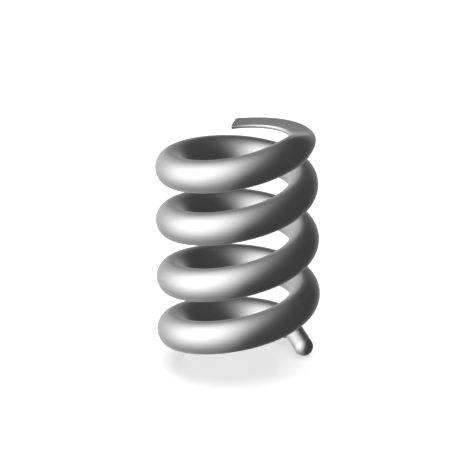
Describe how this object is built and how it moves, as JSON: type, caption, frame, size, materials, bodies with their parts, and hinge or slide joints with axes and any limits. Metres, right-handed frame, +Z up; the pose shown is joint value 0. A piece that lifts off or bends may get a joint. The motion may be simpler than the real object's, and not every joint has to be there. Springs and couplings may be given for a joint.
{
  "type": "coil spring desk toy",
  "caption": "Desk toy spring: one thick oval steel wire wound as an open coil that stretches, squeezes and bends, with an upper end that thins to a flat-topped blade and a round peg below.",
  "frame": {"origin": "on the coil's axis, level with the lowest point of the lower peg, so the bottom centre of the bounding box", "axes": "+Z up along the axis of the coil; -Y is the front, where the wire rises from left to right; +X is the right side, where the lower peg stands out"},
  "size_m": [0.0612, 0.0612, 0.0966],
  "materials": {
    "wire": "satin"
  },
  "bodies": {
    "lower_end": {"lower_peg": "wire", "turn_1_back": "wire"},
    "turn_1_left": {"turn_1_left": "wire"},
    "turn_1_front": {"turn_1_front": "wire"},
    "turn_1_right": {"turn_1_right": "wire"},
    "turn_2_back": {"turn_2_back": "wire"},
    "turn_2_left": {"turn_2_left": "wire"},
    "turn_2_front": {"turn_2_front": "wire"},
    "turn_2_right": {"turn_2_right": "wire"},
    "turn_3_back": {"turn_3_back": "wire"},
    "turn_3_left": {"turn_3_left": "wire"},
    "turn_3_front": {"turn_3_front": "wire"},
    "turn_3_right": {"turn_3_right": "wire"},
    "turn_4_back": {"turn_4_back": "wire"},
    "turn_4_left": {"turn_4_left": "wire"},
    "turn_4_front": {"turn_4_front": "wire"},
    "upper_end": {"turn_4_right": "wire", "upper_tip": "wire"}
  },
  "joints": [
    {"name": "bend", "type": "hinge", "parent": "lower_end", "child": "turn_1_left", "pos_m": [-0.01768, 0.01768, 0.01097], "axis": [0, 1, 0], "range_deg": [-2.5, 2.5], "stiffness_Nm_per_rad": 5},
    {"name": "stretch", "type": "slide", "parent": "turn_1_left", "child": "turn_1_front", "axis": [0, 0, 1], "range_m": [-0.002, 0.004], "stiffness_N_per_m": 12000},
    {"name": "bend_2", "type": "hinge", "parent": "turn_1_front", "child": "turn_1_right", "pos_m": [0.01768, -0.01768, 0.02459], "axis": [0, 1, 0], "range_deg": [-2.5, 2.5], "stiffness_Nm_per_rad": 5},
    {"name": "stretch_2", "type": "slide", "parent": "turn_1_right", "child": "turn_2_back", "axis": [0, 0, 1], "range_m": [-0.002, 0.004], "stiffness_N_per_m": 12000},
    {"name": "bend_3", "type": "hinge", "parent": "turn_2_back", "child": "turn_2_left", "pos_m": [-0.01768, 0.01768, 0.03227], "axis": [0, 1, 0], "range_deg": [-2.5, 2.5], "stiffness_Nm_per_rad": 5},
    {"name": "stretch_3", "type": "slide", "parent": "turn_2_left", "child": "turn_2_front", "axis": [0, 0, 1], "range_m": [-0.002, 0.004], "stiffness_N_per_m": 12000},
    {"name": "bend_4", "type": "hinge", "parent": "turn_2_front", "child": "turn_2_right", "pos_m": [0.01768, -0.01768, 0.04642], "axis": [0, 1, 0], "range_deg": [-2.5, 2.5], "stiffness_Nm_per_rad": 5},
    {"name": "stretch_4", "type": "slide", "parent": "turn_2_right", "child": "turn_3_back", "axis": [0, 0, 1], "range_m": [-0.002, 0.004], "stiffness_N_per_m": 12000},
    {"name": "bend_5", "type": "hinge", "parent": "turn_3_back", "child": "turn_3_left", "pos_m": [-0.01768, 0.01768, 0.05519], "axis": [0, 1, 0], "range_deg": [-2.5, 2.5], "stiffness_Nm_per_rad": 5},
    {"name": "stretch_5", "type": "slide", "parent": "turn_3_left", "child": "turn_3_front", "axis": [0, 0, 1], "range_m": [-0.002, 0.004], "stiffness_N_per_m": 12000},
    {"name": "bend_6", "type": "hinge", "parent": "turn_3_front", "child": "turn_3_right", "pos_m": [0.01768, -0.01768, 0.06889], "axis": [0, 1, 0], "range_deg": [-2.5, 2.5], "stiffness_Nm_per_rad": 5},
    {"name": "stretch_6", "type": "slide", "parent": "turn_3_right", "child": "turn_4_back", "axis": [0, 0, 1], "range_m": [-0.002, 0.004], "stiffness_N_per_m": 12000},
    {"name": "bend_7", "type": "hinge", "parent": "turn_4_back", "child": "turn_4_left", "pos_m": [-0.01768, 0.01768, 0.07657], "axis": [0, 1, 0], "range_deg": [-2.5, 2.5], "stiffness_Nm_per_rad": 5},
    {"name": "stretch_7", "type": "slide", "parent": "turn_4_left", "child": "turn_4_front", "axis": [0, 0, 1], "range_m": [-0.0017, 0.0034], "stiffness_N_per_m": 12000},
    {"name": "bend_8", "type": "hinge", "parent": "turn_4_front", "child": "upper_end", "pos_m": [0.01768, -0.01768, 0.08998], "axis": [0, 1, 0], "range_deg": [-2.5, 2.5], "stiffness_Nm_per_rad": 5}
  ],
  "couplings": [
    {"joint": "bend_2", "follows": "bend", "ratio": 1},
    {"joint": "stretch_2", "follows": "stretch", "ratio": 1},
    {"joint": "bend_3", "follows": "bend", "ratio": 1},
    {"joint": "stretch_3", "follows": "stretch", "ratio": 1},
    {"joint": "bend_4", "follows": "bend", "ratio": 1},
    {"joint": "stretch_4", "follows": "stretch", "ratio": 1},
    {"joint": "bend_5", "follows": "bend", "ratio": 1},
    {"joint": "stretch_5", "follows": "stretch", "ratio": 1},
    {"joint": "bend_6", "follows": "bend", "ratio": 1},
    {"joint": "stretch_6", "follows": "stretch", "ratio": 1},
    {"joint": "bend_7", "follows": "bend", "ratio": 1},
    {"joint": "stretch_7", "follows": "stretch", "ratio": 0.85},
    {"joint": "bend_8", "follows": "bend", "ratio": 1}
  ]
}
